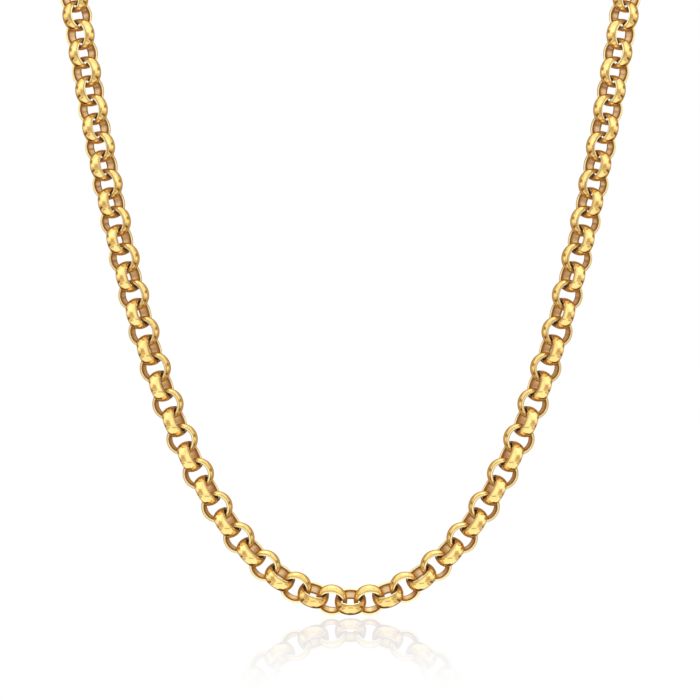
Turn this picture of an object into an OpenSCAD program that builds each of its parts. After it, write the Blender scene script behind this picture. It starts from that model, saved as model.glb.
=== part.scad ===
// Rolo chain necklace: a closed loop of round links, each turned a quarter turn to the next.
// The links are half-round bands, domed outside and flat inside, with bevelled inner edges. The loop
// keeps the form that it has when worn: its front hangs as a catenary in an upright plane, turns back
// over the shoulders, and closes behind the neck in one plain lobster clasp, whose middle is the origin.
// The lowest link and every second one from it are the even links, and the odd links join them.
// +Z is up, the front of the necklace faces -Y, and +X is the wearer's left.

/* [Chain] */
// Length of the whole closed loop, clasp included
necklace_l = 610; // [480:5:760]
// Outer diameter of one link
link_d = 6.2; // [5.8:0.1:7]
// Width of a link's band, along the link's own axis
band_w = 2.45; // [2:0.05:2.6]
// Thickness of the band at its middle
band_t = 0.8; // [0.7:0.05:0.95]
// Thickness of the band at its two flat sides
side_t = 0.35; // [0.2:0.05:0.45]
// Width of the bevel along each inner edge of the band
bevel_w = 0.3; // [0.2:0.05:0.5]
// Depth of the bevel, which the band's sides lose
bevel_t = 0.16; // [0.12:0.01:0.25]
// Room that a link still has in the next one where the chain turns most
link_play = 0.1; // [0.1:0.02:0.4]

/* [Hang] */
// Radius of the hanging curve at its lowest link
hang_r = 20.9; // [16:0.1:28]
// Height of the upright front, from the lowest link up to where the shoulders turn the chain back
front_h = 125; // [100:1:140]
// Radius of the turn over the shoulders
shoulder_r = 30; // [20:1:45]
// Angle by which the shoulders turn the chain back from upright
shoulder_turn = 72; // [50:1:85]

/* [Roll of the links] */
// Roll about the chain at the lowest link: 0 shows every other link edge-on, 90 shows it flat
roll_low = 34; // [20:1:45]
// Roll a little way up each side, where it is least
roll_side = 18; // [10:1:30]
// Roll at the shoulders
roll_shoulder = 45; // [30:1:60]

/* [Clasp] */
// Distance between the middles of the clasp's two holes
clasp_l = 9; // [8:0.1:14]
// Room that the claw's hole leaves beside a link's band
claw_room = 1.2; // [0.8:0.1:1.6]
// Thickness of metal around the claw's hole
claw_wall = 1.4; // [1:0.1:1.6]
// Thickness of the claw from face to face, at its middle
claw_t = 2.4; // [2:0.1:2.8]
// Height by which the claw's two faces are domed
claw_dome = 0.5; // [0.2:0.1:0.8]
// Room that the eye's hole leaves beside a link's band
eye_room = 0.7; // [0.5:0.1:1]
// Thickness of metal around the eye's hole
eye_wall = 0.75; // [0.6:0.05:0.9]
// Thickness of the eye from face to face
eye_t = 1.6; // [1.2:0.1:1.8]
// Width of the clasp's neck, beside the eye
neck_w = 2.8; // [2.2:0.1:3.4]
// Radius of the thumb stud on the clasp's side
thumb_r = 0.7; // [0.5:0.1:1]
// Clear space between the clasp and the two links that hang in it
clasp_gap = 0.12; // [0.1:0.01:0.2]

/* [Hidden] */

gold = [0.91, 0.72, 0.29];
pale_gold = [0.86, 0.69, 0.36];

// Radius of the circular arc that rises by rise over half its chord.
function arc_radius(half_chord, rise) = (pow(half_chord, 2) + pow(rise, 2)) / (2 * rise);
function arc_length(r, angle) = r * angle * PI / 180;

// A link's hole, and the circular arc that domes its outside.
link_hole_r = link_d / 2 - band_t;
dome_r = arc_radius(band_w / 2, band_t - side_t - bevel_t);

// How far from a round hole's middle a bar across it comes to bear on its wall.
function bearing(hole_r, half_w) = sqrt(pow(hole_r, 2) - pow(half_w, 2));

// Two bands at right angles bear on each other where their bevels begin or where they end. Where the
// chain turns, the edges of the bands come nearer by turn_play.
bear_w = band_w / 2 - bevel_w;
bevel_r = link_hole_r + bevel_t;
turn_play = band_w / 2 * link_d / min(hang_r, shoulder_r);
max_pitch = 2 * min(bearing(link_hole_r, bear_w), bearing(bevel_r, band_w / 2))
    - turn_play - link_play;

// From the middle of one of the clasp's holes to the middle of the link that hangs in it, with the
// link's band clasp_gap clear of the hole's wall. The clasp, of thickness t, bears in the link in turn.
eye_hole_r = (band_w + eye_room) / 2;
claw_hole_r = (band_w + claw_room) / 2;
function link_reach(hole_r, t) = min(
    bearing(hole_r - clasp_gap, bear_w) + bearing(link_hole_r, t / 2),
    bearing(hole_r - clasp_gap, band_w / 2) + bearing(bevel_r, t / 2)
);
eye_reach = link_reach(eye_hole_r, eye_t);
claw_reach = link_reach(claw_hole_r, claw_t);
clasp_half = (eye_reach + clasp_l + claw_reach) / 2;

// The loop laid flat, as one half of it from the lowest link, s = 0, to the nape: a catenary up to
// s = front_l, and on as the arc of a circle that runs into it smoothly and is square to the middle
// plane at the nape. x is the distance from the middle plane, v the height.
half_l = necklace_l / 2;
function hang_angle(s) = atan2(s, hang_r);
function hang_x(s) = hang_r * ln(s / hang_r + sqrt(1 + pow(s / hang_r, 2)));
function hang_v(s) = sqrt(pow(hang_r, 2) + pow(s, 2)) - hang_r;
function nape_radius(s) = hang_x(s) / sin(hang_angle(s));
// The catenary's length is what the arc leaves of the half loop, summed again until it settles.
function settle(s, turns) = turns == 0 ? s
    : settle(half_l - arc_length(nape_radius(s), 180 - hang_angle(s)), turns - 1);
front_l = settle(half_l * 2 / 3, 12);
nape_r = nape_radius(front_l);
nape_v = hang_v(front_l) + nape_r * cos(hang_angle(front_l));

function heading(s) = s <= front_l ? hang_angle(s)
    : hang_angle(front_l) + (s - front_l) / nape_r * 180 / PI;
function flat_x(s) = s <= front_l ? hang_x(s) : nape_r * sin(heading(s));
function flat_v(s) = s <= front_l ? hang_v(s) : nape_v - nape_r * cos(heading(s));

// The flat loop wraps over a level cylinder of radius shoulder_r, as a sheet does.
shoulder_l = arc_length(shoulder_r, shoulder_turn);
function bend(v) = max(0, min(shoulder_turn, (v - front_h) / shoulder_r * 180 / PI));
function past(v) = max(0, v - front_h - shoulder_l);
function back_y(v) = shoulder_r * (1 - cos(bend(v))) + past(v) * sin(shoulder_turn);
function back_z(v) = min(v, front_h) + shoulder_r * sin(bend(v)) + past(v) * cos(shoulder_turn);

// Links on each side of the lowest one, with an even pitch that fills the loop exactly.
last_s = half_l - arc_length(nape_r, asin(clasp_half / nape_r));
side_links = ceil(last_s / max_pitch);
pitch = last_s / side_links;

// The clasp's middle lies midway between the two end links, and is moved to the origin.
nape = [0, back_y(flat_v(last_s)), back_z(flat_v(last_s))];
nape_turn = bend(flat_v(last_s));

// Roll along the chain: [share of the half loop, roll]. The hidden stretch past the shoulders rolls
// on evenly, so that the two end links lie flat in the loop and the clasp stands square in them.
last_roll = side_links % 2 == 0 ? 90 : 0;
rolls = [
    [0, roll_low],
    [0.037, (roll_low + roll_side) / 2],
    [0.11, roll_side],
    [0.15, roll_side],
    [0.44, roll_shoulder],
    [0.55, roll_shoulder],
    [last_s / half_l, last_roll],
];
function roll(i) = lookup(i * pitch / half_l, rolls) + (i % 2 == 0 ? 0 : 90);

// The section lies to the right of the link's axis. The polygon gives its inner wall, bevels and sides,
// and runs past the circle that gives its dome.
module band_section() {
    w = band_w / 2;
    outer = link_d / 2 + bevel_t;
    intersection() {
        polygon([
            [link_hole_r, -bear_w], [bevel_r, -w], [outer, -w],
            [outer, w], [bevel_r, w], [link_hole_r, bear_w],
        ]);
        translate([link_d / 2 - dome_r, 0]) circle(r = dome_r, $fn = 180);
    }
}

module link() {
    rotate_extrude($fn = 96) band_section();
}

// Places a child on the chain, as link number i of one side, -1 or 1.
module on_chain(side, i) {
    s = i * pitch;
    h = heading(s);
    b = bend(flat_v(s));
    r = roll(i);
    up = [0, sin(b), cos(b)];
    out = [0, -cos(b), sin(b)];
    inward = [-side * sin(h), 0, 0] + cos(h) * up;
    axis = cos(r) * inward + sin(r) * out;
    across = sin(r) * inward - cos(r) * out;
    along = cross(across, axis);
    place = [side * flat_x(s), back_y(flat_v(s)), back_z(flat_v(s))] - nape;
    multmatrix([for (k = [0:2]) [along[k], across[k], axis[k], place[k]]]) children();
}

// Every second link of both sides, from the lowest link, first = 0, or from its neighbours, first = 1.
module links(first) {
    color(gold)
        for (side = [-1, 1], i = [first:2:side_links])
            if (i > 0 || side > 0) on_chain(side, i) link();
}

// Outline of the claw, of the body that narrows from it to the neck along straight tangents, and of
// the thumb stud on one side. The eye's hole is at the origin and the claw's hole at clasp_l.
module clasp_outline() {
    claw_r = claw_hole_r + claw_wall;
    lean = asin((claw_r - neck_w / 2) / clasp_l);
    side = [-sin(lean), cos(lean)];
    neck = neck_w / 2 * side;
    claw = [clasp_l, 0] + claw_r * side;
    translate([clasp_l, 0]) circle(r = claw_r, $fn = 96);
    polygon([neck, claw, [claw[0], -claw[1]], [neck[0], -neck[1]]]);
    translate((neck + claw) / 2) circle(r = thumb_r, $fn = 48);
}

// A plate with domed faces, as long as the clasp.
module domed_plate() {
    face_r = arc_radius(claw_hole_r + claw_wall, claw_dome);
    rotate([0, 90, 0])
        intersection_for (side = [-1, 1])
            translate([side * (face_r - claw_t / 2), 0, 0])
                cylinder(r = face_r, h = 4 * clasp_l, center = true, $fn = 180);
}

// The clasp lies along X with its eye towards -X. Its holes run through it along the loop's plane.
module clasp() {
    hole_h = 2 * claw_t;
    color(pale_gold)
        rotate([-nape_turn, 0, 0]) translate([eye_reach - clasp_half, 0, 0]) difference() {
            union() {
                intersection() {
                    linear_extrude(2 * claw_t, center = true) clasp_outline();
                    domed_plate();
                }
                cylinder(r = eye_hole_r + eye_wall, h = eye_t, center = true, $fn = 96);
            }
            cylinder(r = eye_hole_r, h = hole_h, center = true, $fn = 96);
            translate([clasp_l, 0, 0]) cylinder(r = claw_hole_r, h = hole_h, center = true, $fn = 96);
        }
}

links(0);  // even_links
links(1);  // odd_links
clasp();
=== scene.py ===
import bpy
import numpy as np
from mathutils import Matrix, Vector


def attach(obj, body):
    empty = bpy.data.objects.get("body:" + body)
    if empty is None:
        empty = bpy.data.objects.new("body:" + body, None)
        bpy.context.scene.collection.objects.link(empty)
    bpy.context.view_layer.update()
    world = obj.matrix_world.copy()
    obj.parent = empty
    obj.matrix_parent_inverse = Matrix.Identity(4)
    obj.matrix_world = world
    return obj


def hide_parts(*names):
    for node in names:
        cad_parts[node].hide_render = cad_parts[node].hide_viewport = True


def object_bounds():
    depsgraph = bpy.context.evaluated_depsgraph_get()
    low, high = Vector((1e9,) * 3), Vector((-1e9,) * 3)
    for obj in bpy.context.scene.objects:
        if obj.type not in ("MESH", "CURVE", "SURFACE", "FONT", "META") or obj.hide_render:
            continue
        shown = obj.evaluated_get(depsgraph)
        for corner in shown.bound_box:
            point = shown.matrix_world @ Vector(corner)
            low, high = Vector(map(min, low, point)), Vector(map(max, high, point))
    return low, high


# Rolo chain necklace in polished yellow gold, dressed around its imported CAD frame.
# Lengths are in millimetres and angles in degrees, and mm turns lengths into Blender's metres.

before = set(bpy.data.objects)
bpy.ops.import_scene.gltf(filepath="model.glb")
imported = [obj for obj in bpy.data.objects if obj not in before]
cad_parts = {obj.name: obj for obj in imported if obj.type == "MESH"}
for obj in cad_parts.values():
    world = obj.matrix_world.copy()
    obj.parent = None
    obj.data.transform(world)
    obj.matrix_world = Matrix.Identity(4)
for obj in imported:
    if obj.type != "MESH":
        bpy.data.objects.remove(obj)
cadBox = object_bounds()
mm = 0.001
print("frame: nodes", ", ".join(sorted(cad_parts)))

# Form of the chain and of its hang, as the CAD model has it
chain = {
    "length": 610, "linkDiameter": 6.2, "bandWidth": 2.45, "bandThickness": 0.8,
    "sideThickness": 0.35, "bevelWidth": 0.3, "bevelDepth": 0.16, "linkPlay": 0.1,
    "hangRadius": 20.9, "frontHeight": 125, "shoulderRadius": 30, "shoulderTurn": 72,
    "rollLow": 34, "rollSide": 18, "rollShoulder": 45,
    # how the mesh is made
    "around": 48, "sectionPoints": 24, "domePoints": 40, "edgeSoftness": 0.06,
}
# Form of the clasp, as the CAD model has it
clasp = {
    "length": 9, "clawRoom": 1.2, "clawWall": 1.4, "clawThickness": 2.4, "clawDome": 0.5,
    "eyeRoom": 0.7, "eyeWall": 0.75, "eyeThickness": 1.6, "neckWidth": 2.8,
    "thumbRadius": 0.7, "gap": 0.12,
    # rounded edges, the gate's two joint lines, and its pin
    "edgeRadius": 0.3, "gateFrom": 28, "gateTo": 146, "jointWidth": 0.1, "jointDepth": 0.14,
    "pinRadius": 0.42, "pinRise": 0.07, "pinBefore": 9, "pinAcross": 0.62, "pinRounding": 0.16,
    "thumbRounding": 0.35, "thumbShare": 0.92, "eyeSoftness": 0.3, "bodyInEye": 0.3, "tone": 0.3,
    # how the mesh is made
    "around": 132, "eyeAround": 72, "eyePoints": 24, "knobAround": 28, "knobLevels": 12,
}


def bearing(wallRadius, barHalf):
    # how far from a round hole's middle a bar across it touches the wall
    return np.sqrt(wallRadius ** 2 - barHalf ** 2)


halfWidth = chain["bandWidth"] / 2
holeRadius = chain["linkDiameter"] / 2 - chain["bandThickness"]
bevelRadius = holeRadius + chain["bevelDepth"]
bearWidth = halfWidth - chain["bevelWidth"]
eyeRadius = (chain["bandWidth"] + clasp["eyeRoom"]) / 2
clawRadius = (chain["bandWidth"] + clasp["clawRoom"]) / 2
clawOuter = clawRadius + clasp["clawWall"]
clawLean = np.arcsin((clawOuter - clasp["neckWidth"] / 2) / clasp["length"])


def linkReach(wallRadius, thickness):
    # from a hole of the clasp to the middle of the link that hangs in it, clear of the wall by the gap
    inner = wallRadius - clasp["gap"]
    return min(
        bearing(inner, bearWidth) + bearing(holeRadius, thickness / 2),
        bearing(inner, halfWidth) + bearing(bevelRadius, thickness / 2),
    )


eyeReach = linkReach(eyeRadius, clasp["eyeThickness"])
clawReach = linkReach(clawRadius, clasp["clawThickness"])
claspHalf = (eyeReach + clasp["length"] + clawReach) / 2
halfLoop = chain["length"] / 2
hang = chain["hangRadius"]
shoulderR, shoulderTurn = chain["shoulderRadius"], np.radians(chain["shoulderTurn"])


def hangAngle(s):
    # slope of the catenary at length s from its lowest link: its tangent is s over the hanging radius
    return np.arctan2(s, hang)


def napeRadius(s):
    # circle that carries on from the catenary at s and is square to the middle plane at the nape
    return hang * np.arcsinh(s / hang) / np.sin(hangAngle(s))


# the catenary's length is what the arc leaves of the half loop, worked out again until it settles
frontLength = halfLoop * 2 / 3
for turn in range(12):
    frontLength = halfLoop - napeRadius(frontLength) * (np.pi - hangAngle(frontLength))
napeR = napeRadius(frontLength)
napeHeight = np.hypot(hang, frontLength) - hang + napeR * np.cos(hangAngle(frontLength))


def heading(s):
    # angle between the chain and level, along one half of the flat loop
    return np.where(s <= frontLength, hangAngle(s), hangAngle(frontLength) + (s - frontLength) / napeR)


def flatLoop(s):
    # a catenary, x = a asinh(s/a) and v = sqrt(a2 + s2) - a, and past frontLength the arc of a circle
    x = np.where(s <= frontLength, hang * np.arcsinh(s / hang), napeR * np.sin(heading(s)))
    v = np.where(s <= frontLength, np.hypot(hang, s) - hang, napeHeight - napeR * np.cos(heading(s)))
    return x, v


def bend(v):
    # turn of the sheet over the shoulders at height v of the flat loop
    return np.clip((v - chain["frontHeight"]) / shoulderR, 0, shoulderTurn)


def wrap(v):
    # the flat loop wraps over a level cylinder, as a sheet does: depth and height of what lay at v
    b = bend(v)
    past = np.maximum(0, v - chain["frontHeight"] - shoulderR * shoulderTurn)
    y = shoulderR * (1 - np.cos(b)) + past * np.sin(b)
    z = np.minimum(v, chain["frontHeight"]) + shoulderR * np.sin(b) + past * np.cos(b)
    return y, z


# links on each side of the lowest one, with an even pitch that fills the loop
turnPlay = halfWidth * chain["linkDiameter"] / min(hang, shoulderR)
bearsAt = min(bearing(holeRadius, bearWidth), bearing(bevelRadius, halfWidth))
maxPitch = 2 * bearsAt - turnPlay - chain["linkPlay"]
lastS = halfLoop - napeR * np.arcsin(claspHalf / napeR)
sideLinks = int(np.ceil(lastS / maxPitch))
pitch = lastS / sideLinks
napeY, napeZ = wrap(flatLoop(np.array(lastS))[1])
napeTurn = bend(flatLoop(np.array(lastS))[1])


def linkFrames(first):
    # Place and three unit axes of every second link of both sides, from link number first. A link's axis is
    # the loop's inward direction, turned about the chain by the roll.
    number = np.arange(first, sideLinks + 1, 2)
    number = np.concatenate([number, number[number > 0]])
    side = np.where(np.arange(len(number)) < (sideLinks - first) // 2 + 1, 1.0, -1.0)
    s = number * pitch
    # the roll at some shares of the half loop, evenly changing between them, until the last link lies flat
    lastRoll = 90 if sideLinks % 2 == 0 else 0
    share = [0, 0.037, 0.11, 0.15, 0.44, 0.55, lastS / halfLoop]
    low, least, shoulder = chain["rollLow"], chain["rollSide"], chain["rollShoulder"]
    rolls = [low, (low + least) / 2, least, least, shoulder, shoulder, lastRoll]
    roll = np.radians(np.interp(s / halfLoop, share, rolls) + 90 * (number % 2))
    x, v = flatLoop(s)
    y, z = wrap(v)
    b, h = bend(v), heading(s)
    none = np.zeros_like(b)
    up = np.stack([none, np.sin(b), np.cos(b)], 1)
    out = np.stack([none, -np.cos(b), np.sin(b)], 1)
    inward = np.stack([-side * np.sin(h), none, none], 1) + np.cos(h)[:, None] * up
    axis = np.cos(roll)[:, None] * inward + np.sin(roll)[:, None] * out
    across = np.sin(roll)[:, None] * inward - np.cos(roll)[:, None] * out
    place = np.stack([side * x, y - napeY, z - napeZ], 1)
    return place, np.cross(across, axis), across, axis


def softOutline(points, softness, count):
    # A closed outline is cut into short even steps, and each point is moved to the mean of its neighbours
    # within softness, as polishing rounds an edge. Then count points are chosen from it, spaced by length
    # and by turning together, so that they gather where the outline turns.
    steps, turningShare = 4000, 0.13
    points = np.vstack([points, points[:1]])
    along = np.append(0, np.cumsum(np.hypot(*np.diff(points, axis=0).T)))
    fine = np.linspace(0, along[-1], steps, endpoint=False)
    shape = np.interp(fine, along, points[:, 0]) + 1j * np.interp(fine, along, points[:, 1])
    reach = np.minimum(fine, along[-1] - fine)
    bell = np.exp(-0.5 * (reach / (softness / 2)) ** 2)
    shape = np.fft.ifft(np.fft.fft(shape) * np.fft.fft(bell / bell.sum()))
    step = np.roll(shape, -1) - shape
    turning = np.abs(np.angle(np.roll(step, -1) / step))
    weight = np.append(0, np.cumsum(np.abs(step) / along[-1] + turningShare * turning))
    chosen = np.interp(np.arange(count) / count * weight[-1], weight, np.arange(len(weight))).astype(int)
    normal = step[chosen] * -1j
    return shape[chosen], normal / np.abs(normal)


def bandSection():
    # the half-round band: flat inner wall, two bevels, two flat sides and one arc for the dome
    outer = chain["linkDiameter"] / 2
    sideEnd = bevelRadius + chain["sideThickness"]
    rise = outer - sideEnd
    domeR = (halfWidth ** 2 + rise ** 2) / (2 * rise)
    lean = np.arcsin(halfWidth / domeR)
    angle = np.linspace(-lean, lean, chain["domePoints"])
    dome = np.stack([outer - domeR + domeR * np.cos(angle), domeR * np.sin(angle)], 1)
    inner = [
        [bevelRadius, halfWidth], [holeRadius, bearWidth],
        [holeRadius, -bearWidth], [bevelRadius, -halfWidth],
    ]
    return softOutline(np.vstack([dome, inner]), chain["edgeSoftness"], chain["sectionPoints"])


def gridFaces(rings, around, section):
    # four-sided faces of closed rings: each point joins the next ones round its section and round its ring
    ring = np.arange(rings)[:, None, None] * around * section
    u = np.arange(around)[None, :, None]
    v = np.arange(section)[None, None, :]
    nextU, nextV = (u + 1) % around, (v + 1) % section
    corners = [ring + a * section + b for a, b in ((u, v), (nextU, v), (nextU, nextV), (u, nextV))]
    return np.stack([np.broadcast_to(c, (rings, around, section)) for c in corners], -1).reshape(-1, 4)


def newPiece(name, points, faces, normals, uv, attributes, material):
    # points, their outward normals where these are known, one UV pair for each face corner, and named
    # values for each point
    mesh = bpy.data.meshes.new(name)
    mesh.from_pydata(points.reshape(-1, 3) * mm, [], faces if isinstance(faces, list) else faces.tolist())
    mesh.polygons.foreach_set("use_smooth", np.ones(len(faces), bool))
    mesh.uv_layers.new(name="bandUV").data.foreach_set("uv", uv.astype(np.float32).ravel())
    for key, values in attributes.items():
        attribute = mesh.attributes.new(key, "FLOAT", "POINT")
        attribute.data.foreach_set("value", values.astype(np.float32).ravel())
    if normals is not None:
        mesh.normals_split_custom_set_from_vertices(normals.reshape(-1, 3).tolist())
    mesh.materials.append(material)
    piece = bpy.data.objects.new(name, mesh)
    bpy.context.scene.collection.objects.link(piece)
    return piece


# Where a link's satin parts, its painted sheen and its painted shade lie round its section. Depths and widths
# are in millimetres and spreads in degrees round the link. Facing is how far the surface looks away from the
# hole, -1 to 1, or sideways.
linkPolishAndShade = {
    "wallDepth": 0.06, "wallBlend": 0.04, "bevelFacing": -0.15, "sideFacing": 0.6, "sideBlend": 0.25,
    "wallSpread": 50, "rimSpread": 25, "outFacing": 0.5, "domeShare": 0.26, "bevelUnshaded": 0.95,
    "wallEdgeFrom": 0.62, "wallEdgeWidth": 0.3, "wallEdgeShare": 0.7,
    "domeFacing": 0.2, "domeEdgeFacing": 0.95, "domeEdgeBlend": 0.15, "domeEdgeShare": 0.8,
}


def linkMasks(t, section, normal):
    # The neighbours bear on a link at both ends of it along the chain, where t is 0 and half a turn. Painted
    # shade, where they pass through it, fades from there as exp(-(degrees / spread)^4). The dome gets less of
    # it, and the bevels nearly none. Thin lines of painted shade follow the edges of the inner wall and of
    # the dome.
    look = linkPolishAndShade
    fromEnd = np.degrees(np.arcsin(np.abs(np.sin(t))))[None, :, None]
    wall = np.clip((holeRadius + look["wallDepth"] - section.real) / look["wallBlend"], 0, 1)
    bevel = (1 - wall) * (normal.real < look["bevelFacing"])
    side = np.clip((np.abs(normal.imag) - look["sideFacing"]) / look["sideBlend"], 0, 1)
    shadeShare = np.clip((look["outFacing"] - normal.real) / look["outFacing"], look["domeShare"], 1)
    shadeShare = shadeShare * (1 - look["bevelUnshaded"] * bevel)
    spread = look["rimSpread"] + wall * (look["wallSpread"] - look["rimSpread"])
    wallEdge = wall * np.clip((np.abs(section.imag) - look["wallEdgeFrom"]) / look["wallEdgeWidth"], 0, 1)
    domeEdge = np.clip((look["domeEdgeFacing"] - normal.real) / look["domeEdgeBlend"], 0, 1)
    domeEdge = (normal.real > look["domeFacing"]) * domeEdge
    return {
        "contactShade": np.exp(-(fromEnd / spread) ** 4) * shadeShare,
        "innerWall": wall,
        "edgeShadeAndJoint": np.maximum(look["wallEdgeShare"] * wallEdge, look["domeEdgeShare"] * domeEdge),
        "flatSide": np.maximum(bevel, side),
    }


def linkPiece(name, first, material, seed):
    # A link is its section carried round a circle: a point of the section at radius r and height a is
    # place + r (cos t along + sin t across) + a axis.
    place, along, across, axis = linkFrames(first)
    section, normal = bandSection()
    links, around, count = len(place), chain["around"], len(section)
    t = np.arange(around) / around * 2 * np.pi
    outwards = np.cos(t)[None, :, None] * along[:, None] + np.sin(t)[None, :, None] * across[:, None]
    points = place[:, None, None] + outwards[:, :, None] * section.real[None, None, :, None]
    points = points + axis[:, None, None] * section.imag[None, None, :, None]
    normals = outwards[:, :, None] * normal.real[None, None, :, None]
    normals = normals + axis[:, None, None] * normal.imag[None, None, :, None]
    faces = gridFaces(links, around, count)
    # UV: u runs round the link in millimetres, v round the section in millimetres
    u = np.arange(around + 1) / around * 2 * np.pi * chain["linkDiameter"] / 2
    v = np.append(0, np.cumsum(np.abs(np.roll(section, -1) - section)))
    uLow, uHigh = u[:-1, None], u[1:, None]
    vLow, vHigh = v[None, :-1], v[None, 1:]
    corner = [(uLow, vLow), (uHigh, vLow), (uHigh, vHigh), (uLow, vHigh)]
    uv = np.stack([np.stack(np.broadcast_arrays(a, b), -1) for a, b in corner], 2)
    uv = np.broadcast_to(uv[None], (links,) + uv.shape).reshape(-1, 2)
    random = np.random.default_rng(seed)
    tone = np.repeat(random.random(links), around * count)
    masks = linkMasks(t, section, normal)
    masks = {key: np.broadcast_to(mask, (links, around, count)) for key, mask in masks.items()}
    piece = newPiece(name, points, faces, normals, uv, {**masks, "linkTone": tone}, material)
    print(name + ":", links, "links,", 2 * len(faces), "triangles")
    return piece


def shell(points, wall, edge):
    # a closed ring of sections as points, faces, UV and masks; UV is in millimetres from the first section
    around, count = points.shape[:2]
    faces = gridFaces(1, around, count)
    alongRing = np.linalg.norm(np.roll(points, -1, 0) - points, axis=2).mean(1)
    alongSection = np.linalg.norm(np.roll(points, -1, 1) - points, axis=2).mean(0)
    u, v = np.append(0, np.cumsum(alongRing)), np.append(0, np.cumsum(alongSection))
    corner = [(u[:-1], v[:-1]), (u[1:], v[:-1]), (u[1:], v[1:]), (u[:-1], v[1:])]
    uv = np.stack([np.stack(np.broadcast_arrays(a[:, None], b[None]), -1) for a, b in corner], 2)
    masks = [np.broadcast_to(mask, (around, count)).ravel() for mask in (wall, edge)]
    return points.reshape(-1, 3), faces, uv.reshape(-1, 2), masks


def faceHeight(y):
    # half the thickness of the clasp's domed plate: arcs that rise by clawDome over the claw's half width
    faceR = (clawOuter ** 2 + clasp["clawDome"] ** 2) / (2 * clasp["clawDome"])
    return clasp["clawThickness"] / 2 - faceR + np.sqrt(faceR ** 2 - y ** 2)


def barOutline():
    # Section of a bar with rounded edges: quarter circles at its four corners, and a few points across
    # its faces. For each point: which side it is on across and through the bar, and its corner's angle.
    quarter = np.radians(np.linspace(0, 90, 5))
    across = np.linspace(0.6, -0.6, 5)
    side = np.concatenate([np.ones(10), across, -np.ones(10), -across])
    through = np.concatenate([-np.ones(5), np.ones(15), -np.ones(10)])
    square = np.full(5, np.pi / 2)
    angle = np.concatenate([
        quarter - np.pi / 2, quarter, square, quarter + np.pi / 2, quarter + np.pi, -square,
    ])
    return side, through, angle


def clawShell():
    # The claw and the body, as a ring round the claw's hole: outwards it reaches the claw's circle, then
    # the straight tangent to the neck, R / cos(t - tangent), and in line with the eye a circle inside the
    # eye's wall. At the gate's two joints it is cut in all round by jointDepth.
    joints = np.radians([clasp["gateFrom"], clasp["gateTo"]])
    halfJoint = clasp["jointWidth"] / clawOuter / 2
    # points on both sides of each edge of a joint
    extra = [joint + step * halfJoint for joint in joints for step in (-1.3, -1, 1, 1.3)]
    t = np.sort(np.append(np.arange(clasp["around"]) / clasp["around"] * 2 * np.pi, extra))
    off = np.pi - np.abs(np.pi - t)
    tangent = np.pi / 2 + clawLean
    reach = np.where(off < tangent, clawOuter, clawOuter / np.maximum(np.cos(off - tangent), 0.1))
    stop = eyeRadius + clasp["bodyInEye"]
    level = clasp["length"] * np.cos(t)
    root = np.maximum(0, level ** 2 - clasp["length"] ** 2 + stop ** 2)
    meetsEye = (np.abs(clasp["length"] * np.sin(t)) < stop) & (level < 0)
    reach = np.where(meetsEye, np.minimum(reach, -level - np.sqrt(root)), reach)
    cut = np.min([np.abs(t - joint) for joint in joints], axis=0) < 1.1 * halfJoint
    inset = np.where(cut, clasp["jointDepth"], 0)[:, None]

    side, through, angle = barOutline()
    edge = clasp["edgeRadius"]
    middle, half = (reach + clawRadius)[:, None] / 2, (reach - clawRadius)[:, None] / 2 - inset
    radius = middle + side * (half - edge) + edge * np.cos(angle)
    y = radius * np.sin(t)[:, None]
    height = faceHeight(np.clip(y, -clawOuter, clawOuter)) - inset - edge
    z = through * height + edge * np.sin(angle)
    x = clasp["length"] + radius * np.cos(t)[:, None]
    wall = np.clip(-side * np.abs(np.cos(angle)) * 4 - 3, 0, 1)
    return shell(np.stack([x, y, z], 2), wall[None], cut[:, None] * 1.0)


def ringShell(inner, outer, half, softness, around, count):
    # a rectangle with softened corners, carried round the origin's Z axis
    section, normal = softOutline(
        np.array([[outer, -half], [outer, half], [inner, half], [inner, -half]]), softness, count)
    t = np.arange(around) / around * 2 * np.pi
    flat = np.stack([np.cos(t), np.sin(t), np.zeros(around)], 1)
    points = flat[:, None] * section.real[None, :, None] + np.array([0, 0, 1]) * section.imag[None, :, None]
    return shell(points, np.clip((-normal.real - 0.9) * 10, 0, 1)[None], np.zeros((1, count)))


def knobShell(x, y, radius, half, rounding):
    # A rounded disc with its axis along Z: at each level's angle its radius goes as cos^rounding and its
    # height as sin^0.8. It closes in a fan of triangles at each end.
    around, levels = clasp["knobAround"], clasp["knobLevels"]
    level = np.radians(np.linspace(-90, 90, levels + 2)[1:-1])
    t = np.arange(around) / around * 2 * np.pi
    r = radius * np.cos(level) ** rounding
    ring = np.stack([
        x + r[:, None] * np.cos(t), y + r[:, None] * np.sin(t),
        np.broadcast_to(half * np.sign(level) * np.abs(np.sin(level)) ** 0.8, (around, levels)).T,
    ], 2)
    points = np.vstack([ring.reshape(-1, 3), [[x, y, -half], [x, y, half]]])
    i, j = np.arange(levels - 1)[:, None] * around, np.arange(around)[None]
    k = (j + 1) % around
    quads = np.stack([i + j, i + k, i + around + k, i + around + j], -1).reshape(-1, 4).tolist()
    last = (levels - 1) * around
    fans = [[levels * around, b, a] for a, b in zip(j[0].tolist(), k[0].tolist())]
    fans += [[levels * around + 1, last + a, last + b] for a, b in zip(j[0].tolist(), k[0].tolist())]
    faces = quads + fans
    uv = np.vstack([points[face][:, :2] for face in faces])
    none = np.zeros(len(points))
    return points, faces, uv, [none, none]


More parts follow.
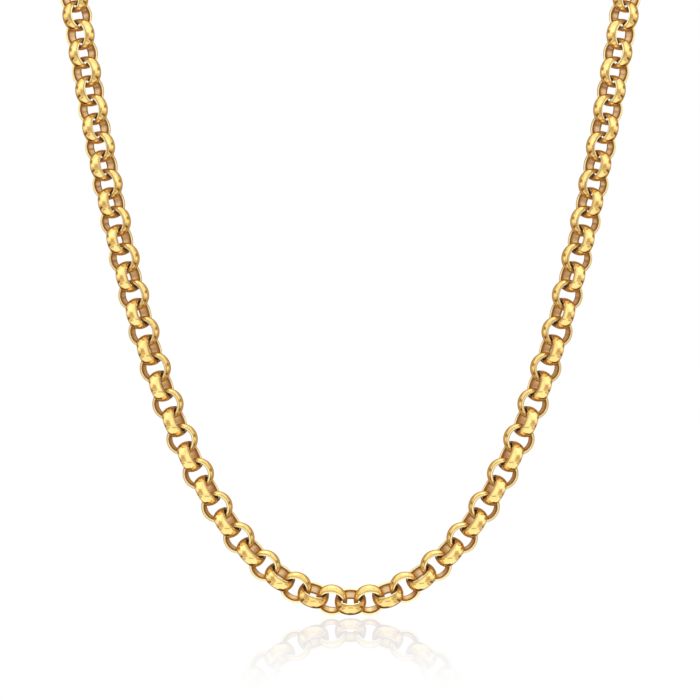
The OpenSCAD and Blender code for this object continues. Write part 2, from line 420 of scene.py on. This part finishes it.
def claspPiece(name, material):
    # The clasp lies with its eye at the origin and its claw along +X, and is then laid into the chain.
    sideways = np.array([-np.sin(clawLean), np.cos(clawLean)])
    thumb = (np.array([clasp["length"], 0]) + (clawOuter + clasp["neckWidth"] / 2) * sideways) / 2
    thumbHalf = faceHeight(thumb[1]) * clasp["thumbShare"]
    pinAngle = np.radians(clasp["gateTo"] - clasp["pinBefore"])
    pin = np.array([np.cos(pinAngle), np.sin(pinAngle)])
    pin = (clawRadius + clasp["clawWall"] * clasp["pinAcross"]) * pin
    pin[0] += clasp["length"]
    pinHalf = faceHeight(pin[1]) + clasp["pinRise"]
    eyeOuter, eyeHalf = eyeRadius + clasp["eyeWall"], clasp["eyeThickness"] / 2
    shells = [
        clawShell(),
        ringShell(eyeRadius, eyeOuter, eyeHalf, clasp["eyeSoftness"], clasp["eyeAround"], clasp["eyePoints"]),
        knobShell(thumb[0], thumb[1], clasp["thumbRadius"], thumbHalf, clasp["thumbRounding"]),
        knobShell(pin[0], pin[1], clasp["pinRadius"], pinHalf, clasp["pinRounding"]),
    ]
    points, faces, uv, wall, edge = [], [], [], [], []
    for shellPoints, shellFaces, shellUV, masks in shells:
        start = sum(len(p) for p in points)
        shellFaces = shellFaces if isinstance(shellFaces, list) else shellFaces.tolist()
        faces += [[start + corner for corner in face] for face in shellFaces]
        points.append(shellPoints)
        uv.append(shellUV)
        wall.append(masks[0])
        edge.append(masks[1])
    points = np.vstack(points)
    points[:, 0] += eyeReach - claspHalf
    y, z = points[:, 1].copy(), points[:, 2].copy()
    points[:, 1] = y * np.cos(napeTurn) + z * np.sin(napeTurn)
    points[:, 2] = z * np.cos(napeTurn) - y * np.sin(napeTurn)
    none = np.zeros(len(points))
    values = {
        "innerWall": np.concatenate(wall), "edgeShadeAndJoint": np.concatenate(edge),
        "flatSide": none, "contactShade": none, "linkTone": none + clasp["tone"],
    }
    piece = newPiece(name, points, faces, None, np.vstack(uv), values, material)
    print(name + ":", sum(len(face) - 2 for face in faces), "triangles")
    return piece


def calculator(tree):
    # gives a function that adds a Math node to this tree, with sockets or plain numbers as its inputs
    def calc(operation, a, b=None, c=None):
        node = tree.nodes.new("ShaderNodeMath")
        node.operation = operation
        for slot, value in enumerate((a, b, c)):
            if isinstance(value, bpy.types.NodeSocket):
                tree.links.new(value, node.inputs[slot])
            elif value is not None:
                node.inputs[slot].default_value = value
        return node.outputs[0]

    return calc


# How much each part of the polish and of the painted shade counts, in both golds
polishRule = {
    "cloudDetail": 2, "lineStretch": (0.5, 7, 1), "lineDetail": 3, "deepFrom": 0.98, "toneShare": 0.15,
    "edgeShare": 0.9, "gapRise": 6, "gapFrom": 4.6, "sideSatin": 0.7, "cloudRough": 0.05,
    "shadeRough": 0.25, "cloudHeight": 3, "wallFlatter": 0.85,
}


def polishGroup():
    # Shared by both golds: a polished outside whose tone is a little cloudy, satin flat sides and inner wall,
    # a painted sheen in paler flat sides, and painted shade in a darker inner wall, along the edges and where
    # the links meet. On the clasp the dark edge lines are its joints.
    group = bpy.data.node_groups.new("goldPolishAndShade", "ShaderNodeTree")
    for name in ("Place", "Band"):
        group.interface.new_socket(name, in_out="INPUT", socket_type="NodeSocketVector")
    for name, kind, value in [
        ("Tone", "Float", 0.5), ("Wall", "Float", 0), ("Edge", "Float", 0), ("Side", "Float", 0),
        ("Contact Shade", "Float", 0),
        ("Bright", "Color", (1, 0.78, 0.3, 1)), ("Deep", "Color", (0.8, 0.5, 0.14, 1)),
        ("Shaded Wall Gold", "Color", (0.76, 0.52, 0.26, 1)), ("Edge Tint", "Color", (0.18, 0.078, 0.055, 1)),
        ("Sheen Side Gold", "Color", (1, 0.9, 0.46, 1)), ("Gap Shade Tint", "Color", (0.4, 0.17, 0.12, 1)),
        ("Polish", "Float", 0.1), ("Satin", "Float", 0.3), ("Cloud Size", "Float", 400),
    ]:
        socket = group.interface.new_socket(name, in_out="INPUT", socket_type="NodeSocket" + kind)
        socket.default_value = value
    for name, kind in ("Colour", "Color"), ("Roughness", "Float"), ("Metallic", "Float"), ("Height", "Float"):
        group.interface.new_socket(name, in_out="OUTPUT", socket_type="NodeSocket" + kind)
    nodes, links, calc = group.nodes, group.links, calculator(group)
    given, result = nodes.new("NodeGroupInput"), nodes.new("NodeGroupOutput")

    def blend(factor, a, b):
        node = nodes.new("ShaderNodeMix")
        node.data_type = "RGBA"
        links.new(factor, node.inputs["Factor"])
        links.new(a, node.inputs["A"])
        links.new(b, node.inputs["B"])
        return node.outputs["Result"]

    cloud = nodes.new("ShaderNodeTexNoise")
    cloud.inputs["Detail"].default_value = polishRule["cloudDetail"]
    links.new(given.outputs["Place"], cloud.inputs["Vector"])
    links.new(given.outputs["Cloud Size"], cloud.inputs["Scale"])
    # fine lines along the band, from noise that is stretched round the link
    stretch = nodes.new("ShaderNodeVectorMath")
    stretch.operation = "MULTIPLY"
    stretch.inputs[1].default_value = polishRule["lineStretch"]
    links.new(given.outputs["Band"], stretch.inputs[0])
    line = nodes.new("ShaderNodeTexNoise")
    line.inputs["Scale"].default_value = 1
    line.inputs["Detail"].default_value = polishRule["lineDetail"]
    links.new(stretch.outputs[0], line.inputs["Vector"])

    # the deeper gold shows where both noises are high, and a little more on some links than on others
    deepShare = calc("ADD", cloud.outputs["Fac"], line.outputs["Fac"])
    deepShare = calc("MAXIMUM", calc("SUBTRACT", deepShare, polishRule["deepFrom"]), 0)
    deepShare = calc("MULTIPLY_ADD", given.outputs["Tone"], polishRule["toneShare"], deepShare)
    colour = blend(deepShare, given.outputs["Bright"], given.outputs["Deep"])
    # painted sheen: the flat sides and bevels are given a paler gold
    colour = blend(given.outputs["Side"], colour, given.outputs["Sheen Side Gold"])
    # painted shade: the inner wall, a hollow, is given a darker, browner gold
    colour = blend(given.outputs["Wall"], colour, given.outputs["Shaded Wall Gold"])
    # painted shade: dark lines along the edges of the inner wall and the dome, and dark gold where the links
    # meet; on the clasp the edge lines are its dark joints
    shadeAndJoints = calc("MULTIPLY", given.outputs["Edge"], polishRule["edgeShare"])
    shadeAndJoints = calc("MAXIMUM", shadeAndJoints, given.outputs["Contact Shade"])
    # The painted shade tints the gold by a power of its colour, so that faint shade is already red. It is a
    # lighter brown deep in the gap between two links.
    rise, start = polishRule["gapRise"], polishRule["gapFrom"]
    gapDepth = calc("MULTIPLY_ADD", given.outputs["Contact Shade"], rise, -start)
    gapDepth = calc("MINIMUM", calc("MAXIMUM", gapDepth, 0), 1)
    power, tinted = nodes.new("ShaderNodeGamma"), nodes.new("ShaderNodeMix")
    links.new(blend(gapDepth, given.outputs["Edge Tint"], given.outputs["Gap Shade Tint"]), power.inputs["Color"])
    links.new(shadeAndJoints, power.inputs["Gamma"])
    tinted.data_type, tinted.blend_type = "RGBA", "MULTIPLY"
    tinted.inputs["Factor"].default_value = 1
    links.new(colour, tinted.inputs["A"])
    links.new(power.outputs["Color"], tinted.inputs["B"])
    links.new(tinted.outputs["Result"], result.inputs["Colour"])
    # where the shade is painted, the gold is given as less metallic, so that it stays dark
    links.new(calc("SUBTRACT", 1, shadeAndJoints), result.inputs["Metallic"])

    satinShare = calc("MULTIPLY", given.outputs["Side"], polishRule["sideSatin"])
    satinShare = calc("MAXIMUM", given.outputs["Wall"], satinShare)
    duller = calc("SUBTRACT", given.outputs["Satin"], given.outputs["Polish"])
    rough = calc("MULTIPLY_ADD", satinShare, duller, given.outputs["Polish"])
    rough = calc("MULTIPLY_ADD", cloud.outputs["Fac"], polishRule["cloudRough"], rough)
    rough = calc("MULTIPLY_ADD", shadeAndJoints, polishRule["shadeRough"], rough)
    links.new(rough, result.inputs["Roughness"])
    # the clouds and the lines are also slight waves in the surface, and the inner wall has less of them
    height = calc("MULTIPLY_ADD", cloud.outputs["Fac"], polishRule["cloudHeight"], line.outputs["Fac"])
    flatter = calc("MULTIPLY_ADD", given.outputs["Wall"], -polishRule["wallFlatter"], 1)
    links.new(calc("MULTIPLY", height, flatter), result.inputs["Height"])
    return group


def goldMaterial(name, look):
    # the shared polish and painted shade in one gold's colours, with slight waves in its surface
    material = bpy.data.materials.new(name)
    material.use_nodes = True
    nodes, links = material.node_tree.nodes, material.node_tree.links
    shader = nodes["Principled BSDF"]
    shader.inputs["Specular IOR Level"].default_value = look["specular"]
    shader.inputs["Specular Tint"].default_value = (*look["grazing"], 1)
    place = nodes.new("ShaderNodeTexCoord")
    band = nodes.new("ShaderNodeUVMap")
    band.uv_map = "bandUV"
    polish = nodes.new("ShaderNodeGroup")
    polish.node_tree = goldPolishAndShade
    links.new(place.outputs["Object"], polish.inputs["Place"])
    links.new(band.outputs["UV"], polish.inputs["Band"])
    for attribute, socket in [
        ("linkTone", "Tone"), ("innerWall", "Wall"), ("edgeShadeAndJoint", "Edge"), ("flatSide", "Side"),
        ("contactShade", "Contact Shade"),
    ]:
        reader = nodes.new("ShaderNodeAttribute")
        reader.attribute_name = attribute
        links.new(reader.outputs["Fac"], polish.inputs[socket])
    for socket in ("Bright", "Deep", "Shaded Wall Gold", "Sheen Side Gold", "Edge Tint", "Gap Shade Tint"):
        polish.inputs[socket].default_value = (*look[socket], 1)
    for socket in ("Polish", "Satin", "Cloud Size"):
        polish.inputs[socket].default_value = look[socket]
    bump = nodes.new("ShaderNodeBump")
    bump.inputs["Strength"].default_value = look["bumpStrength"]
    bump.inputs["Distance"].default_value = look["bumpDepth"] * mm
    links.new(polish.outputs["Height"], bump.inputs["Height"])
    # Gold that is seen in gold would turn orange, as it is coloured twice: there it is given paler. In the
    # floor, which mirrors sharply, it keeps its colour.
    path, paler = nodes.new("ShaderNodeLightPath"), nodes.new("ShaderNodeMix")
    glossyOnly, inGold = nodes.new("ShaderNodeMath"), nodes.new("ShaderNodeMath")
    glossyOnly.operation, inGold.operation = "SUBTRACT", "MULTIPLY"
    glossyOnly.use_clamp = True
    links.new(path.outputs["Is Glossy Ray"], glossyOnly.inputs[0])
    links.new(path.outputs["Is Singular Ray"], glossyOnly.inputs[1])
    links.new(glossyOnly.outputs[0], inGold.inputs[0])
    links.new(polish.outputs["Metallic"], inGold.inputs[1])
    paler.data_type = "RGBA"
    paler.inputs["B"].default_value = (*look["inGold"], 1)
    links.new(inGold.outputs[0], paler.inputs["Factor"])
    links.new(polish.outputs["Colour"], paler.inputs["A"])
    links.new(paler.outputs["Result"], shader.inputs["Base Color"])
    links.new(polish.outputs["Roughness"], shader.inputs["Roughness"])
    links.new(polish.outputs["Metallic"], shader.inputs["Metallic"])
    links.new(bump.outputs["Normal"], shader.inputs["Normal"])
    return material


goldPolishAndShade = polishGroup()
# in both golds the inner wall's darker gold is painted shade, the flat sides' paler gold a painted sheen, and
# the two tints colour the painted shade at edges and between links; on the clasp the edge tint colours its
# joints
linkGold = goldMaterial("linkGold", {
    "Bright": (1.0, 0.78, 0.3), "Deep": (0.8, 0.5, 0.14), "Shaded Wall Gold": (0.76, 0.52, 0.26),
    "Sheen Side Gold": (1.0, 0.9, 0.46), "Edge Tint": (0.18, 0.078, 0.055), "Gap Shade Tint": (0.4, 0.17, 0.12),
    "inGold": (0.93, 0.71, 0.44),
    "Polish": 0.08, "Satin": 0.24, "Cloud Size": 450,
    "specular": 0.05, "grazing": (0.5, 0.3, 0.16), "bumpStrength": 0.32, "bumpDepth": 0.006,
})
claspGold = goldMaterial("claspGold", {
    "Bright": (0.97, 0.76, 0.31), "Deep": (0.78, 0.54, 0.18), "Shaded Wall Gold": (0.88, 0.68, 0.4),
    "Sheen Side Gold": (1.0, 0.8, 0.46), "Edge Tint": (0.16, 0.07, 0.04), "Gap Shade Tint": (0.42, 0.17, 0.1),
    "inGold": (0.85, 0.66, 0.42),
    "Polish": 0.15, "Satin": 0.36, "Cloud Size": 300,
    "specular": 0.05, "grazing": (0.5, 0.3, 0.16), "bumpStrength": 0.25, "bumpDepth": 0.005,
})
print("golds made")

for name, node, first, seed in [("evenLinks", "even_links", 0, 5), ("oddLinks", "odd_links", 1, 6)]:
    piece = linkPiece(name, first, linkGold, seed)
    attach(piece, "root")
    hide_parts(node)
piece = claspPiece("lobsterClasp", claspGold)
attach(piece, "root")
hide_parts("clasp")

# Studio: the photograph's view, a white floor with a faint reflection, and a room to be reflected
photo = {
    # the lowest link's middle is at chainX, chainY in a square picture, counted in pixels from the top left
    "size": 700, "pixelsPerMm": 5.1163, "chainX": 350.5, "chainY": 601.55, "distance": 1000, "sensor": 36,
    # the floor's gap below the chain and half its width; its mirror has its full share up to fadeNear
    # before the chain, and none past fadeFar
    "floorGap": 0.17, "floorHalf": 4000, "mirrorShare": 0.26, "fadeNear": 20, "fadeFar": 230,
}
lowest = np.array([0, -napeY, -napeZ])
camera = bpy.data.objects.new("camera", bpy.data.cameras.new("camera"))
camera.data.sensor_width = photo["sensor"]
camera.data.lens = photo["sensor"] * photo["distance"] / (photo["size"] / photo["pixelsPerMm"])
camera.data.clip_end = 20
camera.location = (
    (photo["size"] / 2 - photo["chainX"]) / photo["pixelsPerMm"] * mm,
    (lowest[1] - photo["distance"]) * mm,
    (lowest[2] + (photo["chainY"] - photo["size"] / 2) / photo["pixelsPerMm"]) * mm,
)
camera.rotation_euler = (np.pi / 2, 0, 0)
bpy.context.scene.collection.objects.link(camera)
bpy.context.scene.camera = camera
bpy.context.scene.view_settings.view_transform = "Standard"


def floorMaterial(chainY):
    # white that glows evenly, with a faint mirror image that fades towards the viewer
    material = bpy.data.materials.new("floorWhite")
    material.use_nodes = True
    nodes, links = material.node_tree.nodes, material.node_tree.links
    nodes.remove(nodes["Principled BSDF"])
    glow = nodes.new("ShaderNodeEmission")
    gloss = nodes.new("ShaderNodeBsdfGlossy")
    gloss.inputs["Color"].default_value = (1, 1, 1, 1)
    gloss.inputs["Roughness"].default_value = 0
    place = nodes.new("ShaderNodeTexCoord")
    parts = nodes.new("ShaderNodeSeparateXYZ")
    links.new(place.outputs["Object"], parts.inputs[0])
    fade = nodes.new("ShaderNodeMapRange")
    fade.interpolation_type = "SMOOTHSTEP"
    fade.inputs["From Min"].default_value = chainY - photo["fadeFar"] * mm
    fade.inputs["From Max"].default_value = chainY - photo["fadeNear"] * mm
    fade.inputs["To Max"].default_value = photo["mirrorShare"]
    links.new(parts.outputs["Y"], fade.inputs["Value"])
    mix = nodes.new("ShaderNodeMixShader")
    links.new(fade.outputs["Result"], mix.inputs["Fac"])
    links.new(glow.outputs[0], mix.inputs[1])
    links.new(gloss.outputs[0], mix.inputs[2])
    links.new(mix.outputs[0], nodes["Material Output"].inputs["Surface"])
    return material


floorZ = cadBox[0][2] - photo["floorGap"] * mm
floorHalf = photo["floorHalf"] * mm
floorCorners = [(x * floorHalf, y * floorHalf, floorZ) for x, y in ((-1, -1), (1, -1), (1, 1), (-1, 1))]
floorMesh = bpy.data.meshes.new("floor")
floorMesh.from_pydata(floorCorners, [], [(0, 1, 2, 3)])
floorMesh.materials.append(floorMaterial(lowest[1] * mm))
floor = bpy.data.objects.new("floor", floorMesh)
bpy.context.scene.collection.objects.link(floor)
floor.visible_glossy = False


def studioWorld():
    # White to the camera and in the floor's mirror. What the gold reflects is a bright tent with lamps and
    # dark cards in it, smooth functions of the direction's azimuth and elevation, the same left and right.
    world = bpy.data.worlds.new("studio")
    bpy.context.scene.world = world
    world.use_nodes = True
    nodes, links, calc = world.node_tree.nodes, world.node_tree.links, calculator(world.node_tree)
    tent = nodes["Background"]
    white = nodes.new("ShaderNodeBackground")
    white.inputs["Color"].default_value = (1, 1, 1, 1)
    direction = nodes.new("ShaderNodeTexCoord")
    parts = nodes.new("ShaderNodeSeparateXYZ")
    links.new(direction.outputs["Generated"], parts.inputs[0])

    def softStep(value, low, high):
        node = nodes.new("ShaderNodeMapRange")
        node.interpolation_type = "SMOOTHSTEP"
        node.inputs["From Min"].default_value = low
        node.inputs["From Max"].default_value = high
        links.new(value, node.inputs["Value"])
        return node.outputs["Result"]

    def window(value, low, high, soft):
        opens, closes = softStep(value, low - soft, low + soft), softStep(value, high + soft, high - soft)
        return calc("MULTIPLY", opens, closes)

    elevation = calc("MULTIPLY", calc("ARCSINE", parts.outputs["Z"]), 180 / np.pi)
    towardsViewer = calc("MULTIPLY", parts.outputs["Y"], -1)
    azimuth = calc("MULTIPLY", calc("ARCTAN2", parts.outputs["X"], towardsViewer), 180 / np.pi)
    aside = calc("ABSOLUTE", azimuth)

    def panel(share, sideLow, sideHigh, low, high, soft):
        mask = calc("MULTIPLY", window(aside, sideLow, sideHigh, soft), window(elevation, low, high, soft))
        return calc("MULTIPLY", mask, share)

    strength = calc("ADD", studio["tentLight"], 0)
    for lamp in studio["lamps"]:
        strength = calc("ADD", strength, panel(*lamp))
    shade = calc("ADD", 1, 0)
    for card in studio["cards"]:
        shade = calc("MULTIPLY", shade, calc("SUBTRACT", 1, panel(*card)))
    # what is dimmer is also warmer: green and blue fall as a power of the light
    light = calc("MULTIPLY", strength, shade)
    dim = calc("MINIMUM", light, 1)
    tone = nodes.new("ShaderNodeCombineColor")
    links.new(light, tone.inputs["Red"])
    for channel, power in studio["warmth"].items():
        links.new(calc("MULTIPLY", light, calc("POWER", dim, power)), tone.inputs[channel])
    links.new(tone.outputs["Color"], tent.inputs["Color"])

    path = nodes.new("ShaderNodeLightPath")
    mix = nodes.new("ShaderNodeMixShader")
    plain = calc("MAXIMUM", path.outputs["Is Camera Ray"], path.outputs["Is Singular Ray"])
    links.new(plain, mix.inputs["Fac"])
    links.new(tent.outputs[0], mix.inputs[1])
    links.new(white.outputs[0], mix.inputs[2])
    links.new(mix.outputs[0], nodes["World Output"].inputs["Surface"])


# The tent's own light, how much green and blue fall in what is dimmer, and its lamps and cards
studio = {
    "tentLight": 1.12, "warmth": {"Green": 0.52, "Blue": 0.98},
    # each has its strength or darkness, azimuth from and to (0 is the viewer's side, 180 behind the
    # chain), elevation from and to, and the softness of its edges
    "lamps": [
        (0.28, 52, 90, 18, 55, 8),
        (0.04, -60, 90, -90, -50, 8),
        (0.12, -60, 22, -20, 30, 7),
        (0.2, 140, 200, 35, 75, 8),
        (1.4, 150, 200, 60, 70, 4),
    ],
    "cards": [
        (0.35, 28, 130, -34, -8, 6),
        (0.7, 76, 120, -31, -20, 3),
        (0.4, 36, 68, -12, 10, 5),
        (0.6, 94, 124, 8, 22, 4),
        (0.4, 52, 100, -48, -36, 4),
        (0.45, -60, 24, -46, -37, 4),
        (0.38, 114, 170, -34, 38, 7),
        (0.45, 110, 200, -62, -34, 7),
        (0.85, 128, 200, -90, -34, 7),
    ],
}
studioWorld()
print("studio set")
